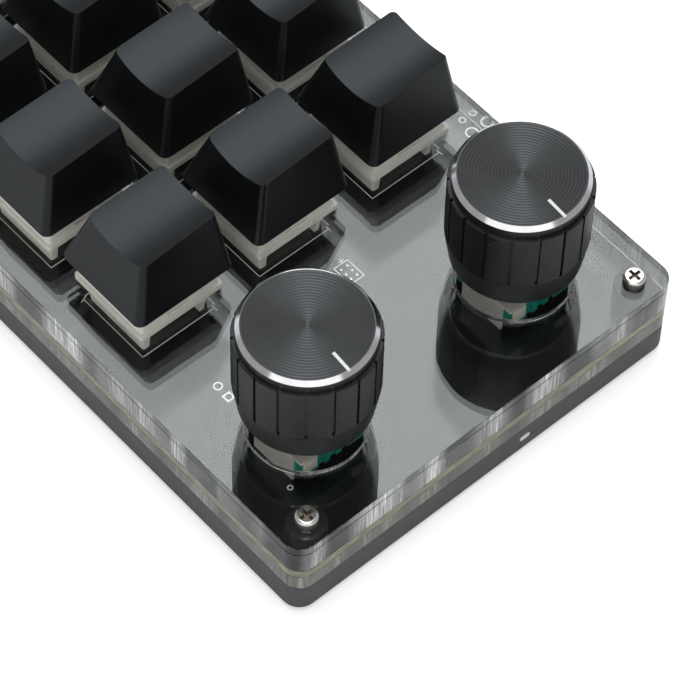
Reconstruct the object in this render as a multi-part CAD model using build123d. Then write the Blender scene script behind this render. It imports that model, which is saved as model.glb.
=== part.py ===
from build123d import *
import os
from math import atan2, degrees

# Macro keypad: twelve keys and two push knobs on a stack of acrylic layers.
# Millimetres. The origin is under the middle of the body, on the table.
# +X points to the knobs, +Y to the back and +Z up.

# Layers of the body, from the table upwards
FOOT_STANDOFF = 1.0
BASE_THICKNESS = 5.3
LOWER_SPACER_THICKNESS = 3.0
BOARD_THICKNESS = 1.6
MID_FRAME_THICKNESS = 4.2
TOP_PLATE_THICKNESS = 1.5
CORNER_RADIUS = 3.0
RIM_WIDTH = 6.0
RIM_INNER_RADIUS = 5.0

# Layout of keys and knobs
KEY_ROWS = 3
KEY_COLUMNS = 4
KEY_PITCH_X = 21.45
KEY_PITCH_Y = 22.5
KEY_MARGIN_X = 14.5
KEY_MARGIN_Y = 14.6
KNOB_GAP_X = 33.36
KNOB_MARGIN_X = 17.0
KNOB_SPACING = 40.6
KNOB_OFFSET_Y = -0.5

# Corner screws, their spacers and the feet
SCREW_INSET_X = 4.0
SCREW_INSET_Y = 5.1
SCREW_DIAMETER = 2.0
SCREW_LENGTH = 14.0
SCREW_HEAD_DIAMETER = 3.5
SCREW_HEAD_HEIGHT = 1.3
SCREW_HEAD_CHAMFER = 0.5
RECESS_LENGTH = 2.0
RECESS_WIDTH = 0.4
RECESS_DEPTH = 0.8
THREAD_GAP = 0.05
SCREW_HOLE_GAP = 0.15
SPACER_DIAMETER = 6.0
SPACER_GAP = 0.1
FOOT_DIAMETER = 8.0
FOOT_RECESS = 0.5
FOOT_INSET = 13.0

# Base tray and what opens through it
BASE_FLOOR = 2.0
BASE_EDGE_CHAMFER = 0.4
WINDOW_Y = 7.3
WINDOW_LENGTH = 2.0
WINDOW_HEIGHT = 1.0
WINDOW_DEPTH = 2.5
PORT_X = 27.0
PORT_WIDTH = 8.94
PORT_HEIGHT = 3.16
PORT_DEPTH = 7.35
PORT_WALL = 0.3
PORT_SETBACK = 0.6
PORT_GAP = 0.3
TONGUE_WIDTH = 6.7
TONGUE_THICKNESS = 0.7
TONGUE_LENGTH = 5.0

# Key switch, measured from the top of the plate
PLATE_HOLE = 14.0
FLANGE_WIDTH = 15.6
FLANGE_THICKNESS = 1.0
FLANGE_LEDGE = 0.35
SWITCH_NECK_GAP = 0.05
SWITCH_FOOT_WIDTH = 13.06
SWITCH_DEPTH = 5.0
SWITCH_FLOOR = 1.0
SWITCH_TOP_HEIGHT = 6.6
SWITCH_CROWN_X = 10.8
SWITCH_CROWN_Y = 9.8
SWITCH_ROOF = 1.2
POST_DIAMETER = 4.0
POST_LENGTH = 3.3
POST_GAP = 0.1
KEY_TRAVEL = 4.0

# Slider with its cross stem, and the spring below it
SLIDER_X = 7.0
SLIDER_Y = 5.6
SLIDER_SHOULDER_X = 9.2
SLIDER_SHOULDER_Y = 7.0
SLIDER_GAP = 0.2
SLIDER_RISE = 0.1
CROSS_LENGTH = 4.0
CROSS_RIB_X = 1.1
CROSS_RIB_Y = 1.3
CROSS_HEIGHT = 3.6
SPRING_DIAMETER = 4.2
SPRING_WIRE = 0.4
SPRING_LENGTH = 8.5
SPRING_GAP = 0.3

# Switch pins, plug-in sockets and lights on the board
PIN_PLACES = ((-3.81, 2.54), (2.54, 5.08))
PIN_WIDTH = 0.8
PIN_THICKNESS = 0.4
PIN_HOLE = 1.5
SOCKET_HEIGHT = 1.8
SOCKET_HALF_X = 3.0
SOCKET_HALF_Y = 2.1
SOCKET_POST_GAP = 0.3
LIGHT_OFFSET_Y = -4.7
LIGHT_X = 3.2
LIGHT_Y = 2.8
LIGHT_HEIGHT = 1.0
LIGHT_FOOT = 0.45
LIGHT_GAP = 0.1

# Keycap, measured from the top of the plate
CAP_FOOT_WIDTH = 18.1
CAP_FOOT_HEIGHT = 5.5
CAP_TOP_X = 12.3
CAP_TOP_Y = 13.7
CAP_TOP_SHIFT = 1.45
CAP_CORNER_CHAMFER = 0.9
CAP_RIM_HEIGHT = 15.2
CAP_WALL = 1.3
CAP_CROWN = 1.3
DISH_FRONT_HEIGHT = 13.65
DISH_BACK_HEIGHT = 14.45
DISH_SAG = 1.0
BOSS_DIAMETER = 5.5
BOSS_CLEARANCE = 0.2
CROSS_GAP = 0.05

# Rotary encoder, measured from the top of the plate
KNOB_HOLE_DIAMETER = 18.1
ENCODER_X = 12.0
ENCODER_Y = 11.7
ENCODER_TOP = 1.0
COVER_THICKNESS = 0.4
COVER_TAB_WIDTH = 8.4
CLAW_WIDTH = 2.4
CLAW_DEPTH = 2.6
BUSH_DIAMETER = 7.0
BUSH_HEIGHT = 5.0
SHAFT_DIAMETER = 6.0
SHAFT_GAP = 0.05
SHAFT_LENGTH = 20.0
SHAFT_FLAT_LENGTH = 10.0
SHAFT_FLAT_DEPTH = 1.5
ROTOR_DIAMETER = 8.8
ROTOR_HEIGHT = 3.2
ROTOR_GAP = 0.25
KNOB_PUSH = 0.5

# Knob, measured from its own underside
KNOB_CLEARANCE = 5.2
KNOB_FOOT_RADIUS = 10.0
KNOB_BODY_RADIUS = 10.74
KNOB_TAPER_HEIGHT = 5.4
KNOB_SHOULDER_HEIGHT = 15.8
KNOB_COLLAR_RADIUS = 10.1
KNOB_COLLAR_HEIGHT = 2.2
KNOB_RING_WIDTH = 0.6
KNOB_RING_HEIGHT = 0.7
KNOB_RECESS_RADIUS = 7.5
KNOB_RECESS_DEPTH = 3.2
GRIP_COUNT = 17
GRIP_WIDTH = 0.5
GRIP_DEPTH = 0.4

# Flats that draw the knob's round outline, counted from one grip slot to the next
FLATS_PER_GRIP = 3

# Angle of one grip slot of the front and of the back knob, as they stand at rest
GRIP_TURNS = (-41.7, -49.9)

# Flat sides that stand for a circle on the knob holes, on small rods and on hidden ones
HOLE_SIDES = 36
SMALL_SIDES = 12
HIDDEN_SIDES = 6

# Small parts under the board: length, width, height and place of each
CHIPS = (
    (7.0, 7.0, 0.9, 31.5, 2.0),
    (5.2, 5.2, 1.4, 31.5, -9.0),
    (3.2, 2.5, 0.8, 24.8, 6.0),
    (3.0, 1.7, 1.1, 31.5, 14.5),
)

# Heights that follow from the layers
BASE_BOTTOM = FOOT_STANDOFF
BASE_TOP = BASE_BOTTOM + BASE_THICKNESS
BOARD_BOTTOM = BASE_TOP + LOWER_SPACER_THICKNESS
BOARD_TOP = BOARD_BOTTOM + BOARD_THICKNESS
PLATE_BOTTOM = BOARD_TOP + MID_FRAME_THICKNESS
PLATE_TOP = PLATE_BOTTOM + TOP_PLATE_THICKNESS

# Size of the body, from the layout
BODY_WIDTH = KEY_MARGIN_X + (KEY_COLUMNS - 1) * KEY_PITCH_X + KNOB_GAP_X + KNOB_MARGIN_X
BODY_DEPTH = 2 * KEY_MARGIN_Y + (KEY_ROWS - 1) * KEY_PITCH_Y

KEYS = [
    (
        f"r{row + 1}c{column + 1}",
        -BODY_WIDTH / 2 + KEY_MARGIN_X + column * KEY_PITCH_X,
        -BODY_DEPTH / 2 + KEY_MARGIN_Y + row * KEY_PITCH_Y,
    )
    for row in range(KEY_ROWS)
    for column in range(KEY_COLUMNS)
]
KNOB_X = BODY_WIDTH / 2 - KNOB_MARGIN_X
KNOBS = [
    ("front", KNOB_X, KNOB_OFFSET_Y - KNOB_SPACING / 2),
    ("back", KNOB_X, KNOB_OFFSET_Y + KNOB_SPACING / 2),
]
SCREWS = [
    (side * (BODY_WIDTH / 2 - SCREW_INSET_X), end * (BODY_DEPTH / 2 - SCREW_INSET_Y))
    for side in (-1, 1)
    for end in (-1, 1)
]
FEET = [
    (side * (BODY_WIDTH / 2 - FOOT_INSET), end * (BODY_DEPTH / 2 - FOOT_INSET))
    for side in (-1, 1)
    for end in (-1, 1)
]


def block(length, width, low, high, x=0.0, y=0.0):
    """Upright box between two heights, centred on x and y."""
    return Pos(x, y, (low + high) / 2) * Box(length, width, high - low)


def inscribed_rod(diameter, sides, low, high, x=0.0, y=0.0):
    """Upright rod with flat sides and its corners on the circle."""
    return Pos(x, y, low) * extrude(RegularPolygon(diameter / 2, sides), high - low)


def circumscribed_rod(diameter, sides, low, high, x=0.0, y=0.0):
    """Upright rod with its flat sides on the circle: a hole that lets the round rod in."""
    outline = RegularPolygon(diameter / 2, sides, major_radius=False)
    return Pos(x, y, low) * extrude(outline, high - low)


def tapered_block(foot_size, top_size, low, high, x=0.0, y=0.0, shift=0.0):
    """Four-sided block between two rectangles, its top moved back by a shift."""
    foot_x, foot_y = foot_size
    top_x, top_y = top_size
    lying = Wedge(
        foot_x,
        high - low,
        foot_y,
        (foot_x - top_x) / 2,
        (foot_y - top_y) / 2 - shift,
        (foot_x + top_x) / 2,
        (foot_y + top_y) / 2 - shift,
        align=None,
    )
    return Pos(x - foot_x / 2, y + foot_y / 2, low) * Rot(90, 0, 0) * lying


def layer(low, high):
    """Sheet with the outline of the body."""
    outline = RectangleRounded(BODY_WIDTH, BODY_DEPTH, CORNER_RADIUS)
    return Pos(0, 0, low) * extrude(outline, high - low)


def rim_opening(low, high):
    """Space inside the rim of a frame."""
    outline = RectangleRounded(
        BODY_WIDTH - 2 * RIM_WIDTH, BODY_DEPTH - 2 * RIM_WIDTH, RIM_INNER_RADIUS
    )
    return Pos(0, 0, low) * extrude(outline, high - low)


def screw_holes(diameter, low, high):
    """One upright hole for each corner screw."""
    return [circumscribed_rod(diameter, HIDDEN_SIDES, low, high, x, y) for x, y in SCREWS]


def port_opening(low, high):
    """Gap in the back wall that the cable socket looks out of."""
    width = PORT_WIDTH + 2 * PORT_GAP
    return block(width, 2 * RIM_WIDTH + PORT_DEPTH, low, high, PORT_X, BODY_DEPTH / 2)


def top_plate():
    """Clear sheet with a square hole for each switch and a round one for each knob."""
    holes = [block(PLATE_HOLE, PLATE_HOLE, PLATE_BOTTOM, PLATE_TOP, x, y) for _, x, y in KEYS]
    holes += [
        circumscribed_rod(KNOB_HOLE_DIAMETER, HOLE_SIDES, PLATE_BOTTOM, PLATE_TOP, x, y)
        for _, x, y in KNOBS
    ]
    holes += screw_holes(SCREW_DIAMETER + 2 * SCREW_HOLE_GAP, PLATE_BOTTOM, PLATE_TOP)
    return layer(PLATE_BOTTOM, PLATE_TOP) - holes


def mid_frame():
    """Clear rim that holds the plate above the board, bored for the screw spacers."""
    width = SPACER_DIAMETER + 2 * SPACER_GAP
    holes = [circumscribed_rod(width, SMALL_SIDES, BOARD_TOP, PLATE_BOTTOM, x, y) for x, y in SCREWS]
    return layer(BOARD_TOP, PLATE_BOTTOM) - [rim_opening(BOARD_TOP, PLATE_BOTTOM)] - holes


def circuit_board():
    """Board with holes for the switch posts, pins, lights and screws."""
    low, high = BOARD_BOTTOM, BOARD_TOP
    holes = screw_holes(SCREW_DIAMETER + 2 * SCREW_HOLE_GAP, low, high)
    post_hole = POST_DIAMETER + 2 * POST_GAP
    for _, x, y in KEYS:
        holes.append(circumscribed_rod(post_hole, HIDDEN_SIDES, low, high, x, y))
        holes.append(
            block(LIGHT_X + 2 * LIGHT_GAP, LIGHT_Y + 2 * LIGHT_GAP, low, high, x, y + LIGHT_OFFSET_Y)
        )
        for pin_x, pin_y in PIN_PLACES:
            holes.append(block(PIN_HOLE, PIN_HOLE, low, high, x + pin_x, y + pin_y))
    return layer(low, high) - holes


def lower_spacer():
    """Clear rim between the board and the base, open at the cable socket."""
    low, high = BASE_TOP, BOARD_BOTTOM
    holes = screw_holes(SCREW_DIAMETER + 2 * SCREW_HOLE_GAP, low, high)
    return layer(low, high) - [rim_opening(low, high), port_opening(low, high)] - holes


def base_tray():
    """Shallow tray: floor, rim, foot recesses, screw holes and the light window's slot."""
    tray = layer(BASE_BOTTOM, BASE_TOP)
    tray = chamfer(tray.faces().sort_by(Axis.Z)[0].edges(), BASE_EDGE_CHAMFER)
    screw_tip = PLATE_TOP - SCREW_LENGTH
    pocket_x, pocket_y = BODY_WIDTH - 2 * RIM_WIDTH, BODY_DEPTH - 2 * RIM_WIDTH
    cuts = [block(pocket_x, pocket_y, BASE_BOTTOM + BASE_FLOOR, BASE_TOP)]
    cuts.append(port_opening(BOARD_BOTTOM - PORT_HEIGHT - PORT_GAP, BASE_TOP))
    cuts += screw_holes(SCREW_DIAMETER + 2 * THREAD_GAP, screw_tip - SCREW_HOLE_GAP, BASE_TOP)
    foot_hole = FOOT_DIAMETER + 2 * SPACER_GAP
    recess_top = BASE_BOTTOM + FOOT_RECESS
    for x, y in FEET:
        cuts.append(circumscribed_rod(foot_hole, SMALL_SIDES, BASE_BOTTOM, recess_top, x, y))
    cuts.append(light_window())
    return tray - cuts


def light_window():
    """Small clear light guide set flush in the right side of the base."""
    middle = BASE_BOTTOM + BASE_THICKNESS / 2
    return block(
        WINDOW_DEPTH,
        WINDOW_LENGTH,
        middle - WINDOW_HEIGHT / 2,
        middle + WINDOW_HEIGHT / 2,
        BODY_WIDTH / 2 - WINDOW_DEPTH / 2,
        WINDOW_Y,
    )


def rubber_foot(x, y):
    """Round stick-on foot, half sunk in its recess."""
    return inscribed_rod(FOOT_DIAMETER, SMALL_SIDES, 0, BASE_BOTTOM + FOOT_RECESS, x, y)


def screw_spacer(x, y):
    """Black nylon tube round a corner screw, between the board and the plate."""
    low, high = BOARD_TOP, PLATE_BOTTOM
    bore = circumscribed_rod(SCREW_DIAMETER + 2 * SCREW_HOLE_GAP, HIDDEN_SIDES, low, high, x, y)
    return inscribed_rod(SPACER_DIAMETER, SMALL_SIDES, low, high, x, y) - bore


def corner_screw(x, y):
    """Pan-head screw with a cross recess, through every layer into the base."""
    head = inscribed_rod(SCREW_HEAD_DIAMETER, SMALL_SIDES, 0, SCREW_HEAD_HEIGHT)
    head = chamfer(head.faces().sort_by(Axis.Z)[-1].edges(), SCREW_HEAD_CHAMFER)
    recess_floor = SCREW_HEAD_HEIGHT - RECESS_DEPTH
    recess = block(RECESS_LENGTH, RECESS_WIDTH, recess_floor, SCREW_HEAD_HEIGHT)
    recess += block(RECESS_WIDTH, RECESS_LENGTH, recess_floor, SCREW_HEAD_HEIGHT)
    shank = inscribed_rod(SCREW_DIAMETER, HIDDEN_SIDES, -SCREW_LENGTH, 0)
    return Pos(x, y, PLATE_TOP) * (head - recess + shank)


def cable_socket():
    """Oval steel shell with its contact tongue, hung under the board at the back edge."""
    back = BODY_DEPTH / 2 - PORT_SETBACK
    middle = BOARD_BOTTOM - PORT_HEIGHT / 2
    outer = SlotOverall(PORT_WIDTH, PORT_HEIGHT)
    inner = SlotOverall(PORT_WIDTH - 2 * PORT_WALL, PORT_HEIGHT - 2 * PORT_WALL)
    mouth = Plane(origin=(PORT_X, back, middle), x_dir=(-1, 0, 0), z_dir=(0, 1, 0))
    shell = extrude(mouth * outer, -PORT_DEPTH)
    shell -= extrude(mouth * inner, -(PORT_DEPTH - PORT_WALL))
    tongue = Pos(PORT_X, back - PORT_DEPTH + PORT_WALL + TONGUE_LENGTH / 2, middle)
    return shell + tongue * Box(TONGUE_WIDTH, TONGUE_LENGTH, TONGUE_THICKNESS)


def chip(length, width, height, x, y):
    """Flat electronic part soldered under the board."""
    return block(length, width, BOARD_BOTTOM - height, BOARD_BOTTOM, x, y)


def slider_well(low, high, x, y):
    """Room in a switch for the wide part of the slider."""
    return block(
        SLIDER_SHOULDER_X + 2 * SLIDER_GAP, SLIDER_SHOULDER_Y + 2 * SLIDER_GAP, low, high, x, y
    )


def switch_base(x, y):
    """Lower housing: flange on the plate, tapered body through its hole, centre post."""
    foot = PLATE_TOP - SWITCH_DEPTH
    flange_top = PLATE_TOP + FLANGE_THICKNESS
    neck_width = PLATE_HOLE - 2 * SWITCH_NECK_GAP
    neck = block(neck_width, neck_width, PLATE_BOTTOM, PLATE_TOP, x, y)
    foot_size = (SWITCH_FOOT_WIDTH, SWITCH_FOOT_WIDTH)
    body = tapered_block(foot_size, (neck_width, neck_width), foot, PLATE_BOTTOM, x, y)
    flange = block(FLANGE_WIDTH, FLANGE_WIDTH, PLATE_TOP, flange_top, x, y)
    post = inscribed_rod(POST_DIAMETER, HIDDEN_SIDES, foot - POST_LENGTH, foot, x, y)
    return body + neck + flange + post - slider_well(foot + SWITCH_FLOOR, flange_top, x, y)


def switch_top(x, y):
    """Upper housing: sloping walls, flat crown and the opening for the slider."""
    low = PLATE_TOP + FLANGE_THICKNESS
    high = PLATE_TOP + SWITCH_TOP_HEIGHT
    foot_width = FLANGE_WIDTH - 2 * FLANGE_LEDGE
    crown = (SWITCH_CROWN_X, SWITCH_CROWN_Y)
    shell = tapered_block((foot_width, foot_width), crown, low, high, x, y)
    shell -= slider_well(low, high - SWITCH_ROOF, x, y)
    return shell - block(
        SLIDER_X + 2 * SLIDER_GAP, SLIDER_Y + 2 * SLIDER_GAP, high - SWITCH_ROOF, high, x, y
    )


def slider(x, y):
    """Sliding stem: wide lower part, narrow neck through the roof, cross on top."""
    roof = PLATE_TOP + SWITCH_TOP_HEIGHT - SWITCH_ROOF
    well_floor = PLATE_TOP - SWITCH_DEPTH + SWITCH_FLOOR
    low = well_floor + KEY_TRAVEL + SLIDER_RISE
    shoulder = roof - SLIDER_RISE
    neck_top = roof + SWITCH_ROOF
    cross_top = neck_top + CROSS_HEIGHT
    stem = block(SLIDER_SHOULDER_X, SLIDER_SHOULDER_Y, low, shoulder, x, y)
    stem += block(SLIDER_X, SLIDER_Y, shoulder, neck_top, x, y)
    stem += block(CROSS_LENGTH, CROSS_RIB_X, neck_top, cross_top, x, y)
    stem += block(CROSS_RIB_Y, CROSS_LENGTH, neck_top, cross_top, x, y)
    bore_width = SPRING_DIAMETER + 2 * SPRING_GAP
    return stem - block(bore_width, bore_width, low, well_floor + SPRING_LENGTH, x, y)


def spring(x, y):
    """Space that the coil spring fills, from the housing floor into the slider."""
    low = PLATE_TOP - SWITCH_DEPTH + SWITCH_FLOOR
    high = low + SPRING_LENGTH
    inside = SPRING_DIAMETER - 2 * SPRING_WIRE
    coil = inscribed_rod(SPRING_DIAMETER, HIDDEN_SIDES, low, high, x, y)
    return coil - inscribed_rod(inside, HIDDEN_SIDES, low, high, x, y)


def switch_pins(x, y):
    """Two flat pins under the housing, through the board into the plug-in socket."""
    top = PLATE_TOP - SWITCH_DEPTH
    tip = top - POST_LENGTH
    return [
        block(PIN_WIDTH, PIN_THICKNESS, tip, top, x + pin_x, y + pin_y)
        for pin_x, pin_y in PIN_PLACES
    ]


def plug_socket(x, y):
    """Stepped plastic body under the board, beside the post, that takes both pins."""
    low, high = BOARD_BOTTOM - SOCKET_HEIGHT, BOARD_BOTTOM
    (left_x, left_y), (right_x, right_y) = PIN_PLACES
    step_x = -POST_DIAMETER / 2 - SOCKET_POST_GAP
    left_edge = left_x - SOCKET_HALF_X
    right_edge = right_x + SOCKET_HALF_X
    body = block(
        step_x - left_edge, 2 * SOCKET_HALF_Y, low, high, x + (left_edge + step_x) / 2, y + left_y
    )
    body += block(
        right_edge - step_x, 2 * SOCKET_HALF_Y, low, high, x + (step_x + right_edge) / 2, y + right_y
    )
    slot_x = PIN_WIDTH + 2 * POST_GAP
    slot_y = PIN_THICKNESS + 2 * POST_GAP
    return body - [
        block(slot_x, slot_y, low, high, x + pin_x, y + pin_y) for pin_x, pin_y in PIN_PLACES
    ]


def key_light(x, y):
    """Small light that shines up through its window in the board."""
    low, high = BOARD_BOTTOM - LIGHT_FOOT, BOARD_BOTTOM + LIGHT_HEIGHT
    return block(LIGHT_X, LIGHT_Y, low, high, x, y + LIGHT_OFFSET_Y)


def cap_size(height, inset=0.0):
    """Length and width of the keycap at a height above its foot, drawn in by a wall."""
    share = height / (CAP_RIM_HEIGHT - CAP_FOOT_HEIGHT)
    length = CAP_FOOT_WIDTH + share * (CAP_TOP_X - CAP_FOOT_WIDTH) - 2 * inset
    width = CAP_FOOT_WIDTH + share * (CAP_TOP_Y - CAP_FOOT_WIDTH) - 2 * inset
    return length, width


def cap_block(height, inset=0.0):
    """Tapered block with the keycap's slopes, from its foot up."""
    shift = CAP_TOP_SHIFT * height / (CAP_RIM_HEIGHT - CAP_FOOT_HEIGHT)
    foot, top = cap_size(0, inset), cap_size(height, inset)
    return tapered_block(foot, top, CAP_FOOT_HEIGHT, CAP_FOOT_HEIGHT + height, shift=shift)


def cap_dish():
    """Round bar whose underside is the hollow for the fingertip, rising to the back."""
    rise = DISH_BACK_HEIGHT - DISH_FRONT_HEIGHT
    tilt = degrees(atan2(rise, CAP_TOP_Y))
    half = CAP_TOP_X / 2
    radius = (half**2 + DISH_SAG**2) / (2 * DISH_SAG)
    middle = (DISH_FRONT_HEIGHT + DISH_BACK_HEIGHT) / 2
    floor = Pos(0, CAP_TOP_SHIFT, middle) * Rot(tilt - 90, 0, 0)
    return floor * Pos(0, -radius, 0) * Cylinder(radius, 2 * CAP_FOOT_WIDTH)


def keycap_shape():
    """Hollow cap: tapered skirt, dished top, and the boss that grips the cross."""
    skirt = cap_block(CAP_RIM_HEIGHT - CAP_FOOT_HEIGHT + CAP_CROWN)
    rims = skirt.faces().filter_by(Axis.Z).edges()
    corners = [edge for edge in skirt.edges() if edge not in rims]
    skirt = chamfer(corners, CAP_CORNER_CHAMFER)
    ceiling = DISH_FRONT_HEIGHT - CAP_CROWN
    cap = skirt - cap_dish() - cap_block(ceiling - CAP_FOOT_HEIGHT, CAP_WALL)
    boss_foot = SWITCH_TOP_HEIGHT + BOSS_CLEARANCE
    boss = circumscribed_rod(BOSS_DIAMETER, HIDDEN_SIDES, boss_foot, ceiling)
    cross_top = SWITCH_TOP_HEIGHT + CROSS_HEIGHT + BOSS_CLEARANCE
    length = CROSS_LENGTH + 2 * CROSS_GAP
    cross = block(length, CROSS_RIB_X + 2 * CROSS_GAP, boss_foot, cross_top)
    cross += block(CROSS_RIB_Y + 2 * CROSS_GAP, length, boss_foot, cross_top)
    return cap + (boss - cross)


def encoder_base(x, y):
    """Green plastic body on the board, with the round well for the rotor."""
    top = PLATE_TOP + ENCODER_TOP - COVER_THICKNESS
    body = block(ENCODER_X, ENCODER_Y, BOARD_TOP, top, x, y)
    well = ROTOR_DIAMETER + 2 * ROTOR_GAP
    return body - circumscribed_rod(well, SMALL_SIDES, top - ROTOR_HEIGHT - ROTOR_GAP, top, x, y)


def encoder_cover(x, y):
    """Folded steel cover with mounting tabs front and back, corner claws and a bush."""
    top = PLATE_TOP + ENCODER_TOP
    under = top - COVER_THICKNESS
    depth = ENCODER_Y + 2 * COVER_THICKNESS
    cover = block(ENCODER_X, depth, under, top, x, y)
    for end in (-1, 1):
        tab_y = y + end * (ENCODER_Y + COVER_THICKNESS) / 2
        cover += block(COVER_TAB_WIDTH, COVER_THICKNESS, BOARD_TOP, top, x, tab_y)
    for side in (-1, 1):
        claw_x = x + side * (ENCODER_X + COVER_THICKNESS) / 2
        for end in (-1, 1):
            claw_y = y + end * (ENCODER_Y - CLAW_WIDTH) / 2
            cover += block(COVER_THICKNESS, CLAW_WIDTH, top - CLAW_DEPTH, top, claw_x, claw_y)
    bore = SHAFT_DIAMETER + 2 * SHAFT_GAP
    cover += inscribed_rod(BUSH_DIAMETER, SMALL_SIDES, top, top + BUSH_HEIGHT, x, y)
    return cover - circumscribed_rod(bore, SMALL_SIDES, under, top + BUSH_HEIGHT, x, y)


def encoder_rotor(x, y):
    """Ring that the shaft turns inside the encoder."""
    top = PLATE_TOP + ENCODER_TOP - COVER_THICKNESS - ROTOR_GAP
    low = top - ROTOR_HEIGHT + ROTOR_GAP
    bore = SHAFT_DIAMETER + 2 * SHAFT_GAP
    ring = inscribed_rod(ROTOR_DIAMETER, SMALL_SIDES, low, top, x, y)
    return ring - circumscribed_rod(bore, SMALL_SIDES, low, top, x, y)


def shaft_bounds():
    """Lower and upper end of an encoder shaft."""
    well_floor = PLATE_TOP + ENCODER_TOP - COVER_THICKNESS - ROTOR_HEIGHT - ROTOR_GAP
    low = well_floor + KNOB_PUSH + ROTOR_GAP
    return low, low + SHAFT_LENGTH


def knob_shaft(x, y):
    """Steel shaft with a flat that drives the knob."""
    low, high = shaft_bounds()
    flat = block(
        SHAFT_DIAMETER,
        SHAFT_DIAMETER,
        high - SHAFT_FLAT_LENGTH,
        high,
        0,
        SHAFT_DIAMETER - SHAFT_FLAT_DEPTH,
    )
    return Pos(x, y, 0) * (inscribed_rod(SHAFT_DIAMETER, SMALL_SIDES, low, high) - flat)


def knob_outside():
    """Tapered foot, body, collar and bevelled ring, with one flat over each grip slot."""
    sides = FLATS_PER_GRIP * GRIP_COUNT
    body = inscribed_rod(2 * KNOB_BODY_RADIUS, sides, 0, KNOB_SHOULDER_HEIGHT)
    underside = body.faces().sort_by(Axis.Z)[0]
    draw_in = KNOB_BODY_RADIUS - KNOB_FOOT_RADIUS
    body = chamfer(underside.edges(), draw_in, KNOB_TAPER_HEIGHT, reference=underside)
    knob_top = KNOB_SHOULDER_HEIGHT + KNOB_COLLAR_HEIGHT
    collar = inscribed_rod(2 * KNOB_COLLAR_RADIUS, sides, KNOB_SHOULDER_HEIGHT, knob_top)
    face = collar.faces().sort_by(Axis.Z)[-1]
    collar = chamfer(face.edges(), KNOB_RING_WIDTH, KNOB_RING_HEIGHT, reference=face)
    return Rot(0, 0, 180 / sides) * (body + collar)


def knob(x, y, first_turn):
    """Knob with its grip slots, the recess in its underside and the bore for the shaft."""
    low = PLATE_TOP + KNOB_CLEARANCE
    slot = Pos(KNOB_BODY_RADIUS, 0, 0) * block(
        2 * GRIP_DEPTH, GRIP_WIDTH, KNOB_TAPER_HEIGHT, KNOB_SHOULDER_HEIGHT
    )
    slots = [Rot(0, 0, step * 360 / GRIP_COUNT) * slot for step in range(GRIP_COUNT)]
    outside = Rot(0, 0, first_turn) * (knob_outside() - slots)
    recess = inscribed_rod(2 * KNOB_RECESS_RADIUS, SMALL_SIDES, 0, KNOB_RECESS_DEPTH)
    shaft_low, shaft_high = shaft_bounds()
    bore_top = shaft_high - low + SHAFT_GAP
    bore_width = SHAFT_DIAMETER + 2 * SHAFT_GAP
    bore = circumscribed_rod(bore_width, SMALL_SIDES, KNOB_RECESS_DEPTH, bore_top)
    flat = block(
        SHAFT_DIAMETER,
        SHAFT_DIAMETER,
        bore_top - SHAFT_FLAT_LENGTH,
        bore_top,
        0,
        SHAFT_DIAMETER - SHAFT_FLAT_DEPTH + SHAFT_GAP,
    )
    return Pos(x, y, low) * (outside - recess - (bore - flat))


def save(name, solids):
    """Write one sub-part, as one solid or as a group of separate solids."""
    shape = Compound(children=list(solids)) if isinstance(solids, list) else solids
    shape.label = name
    export_step(shape, f"parts/{name}.step")


os.makedirs("parts", exist_ok=True)

save("top_plate", top_plate())
save("mid_frame", mid_frame())
save("circuit_board", circuit_board())
save("lower_spacer", lower_spacer())
save("base_tray", base_tray())
save("light_window", light_window())
save("rubber_feet", [rubber_foot(x, y) for x, y in FEET])
save("corner_screws", [corner_screw(x, y) for x, y in SCREWS])
save("screw_spacers", [screw_spacer(x, y) for x, y in SCREWS])
save("cable_socket", cable_socket())
save("board_chips", [chip(*size_and_place) for size_and_place in CHIPS])
save("switch_bases", [switch_base(x, y) for _, x, y in KEYS])
save("switch_tops", [switch_top(x, y) for _, x, y in KEYS])
save("switch_pins", [pin for _, x, y in KEYS for pin in switch_pins(x, y)])
save("plug_sockets", [plug_socket(x, y) for _, x, y in KEYS])
save("key_lights", [key_light(x, y) for _, x, y in KEYS])

cap = keycap_shape()
for name, x, y in KEYS:
    save(f"keycap_{name}", Pos(x, y, PLATE_TOP) * cap)
    save(f"stem_{name}", slider(x, y))
    save(f"spring_{name}", spring(x, y))

save("encoder_bases", [encoder_base(x, y) for _, x, y in KNOBS])
save("encoder_covers", [encoder_cover(x, y) for _, x, y in KNOBS])
for (name, x, y), first_turn in zip(KNOBS, GRIP_TURNS):
    save(f"encoder_rotor_{name}", encoder_rotor(x, y))
    save(f"knob_shaft_{name}", knob_shaft(x, y))
    save(f"knob_{name}", knob(x, y, first_turn))
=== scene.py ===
import bmesh
import bpy
from math import atan2, cos, hypot, pi, radians, sin
from mathutils import Matrix, Vector


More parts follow.
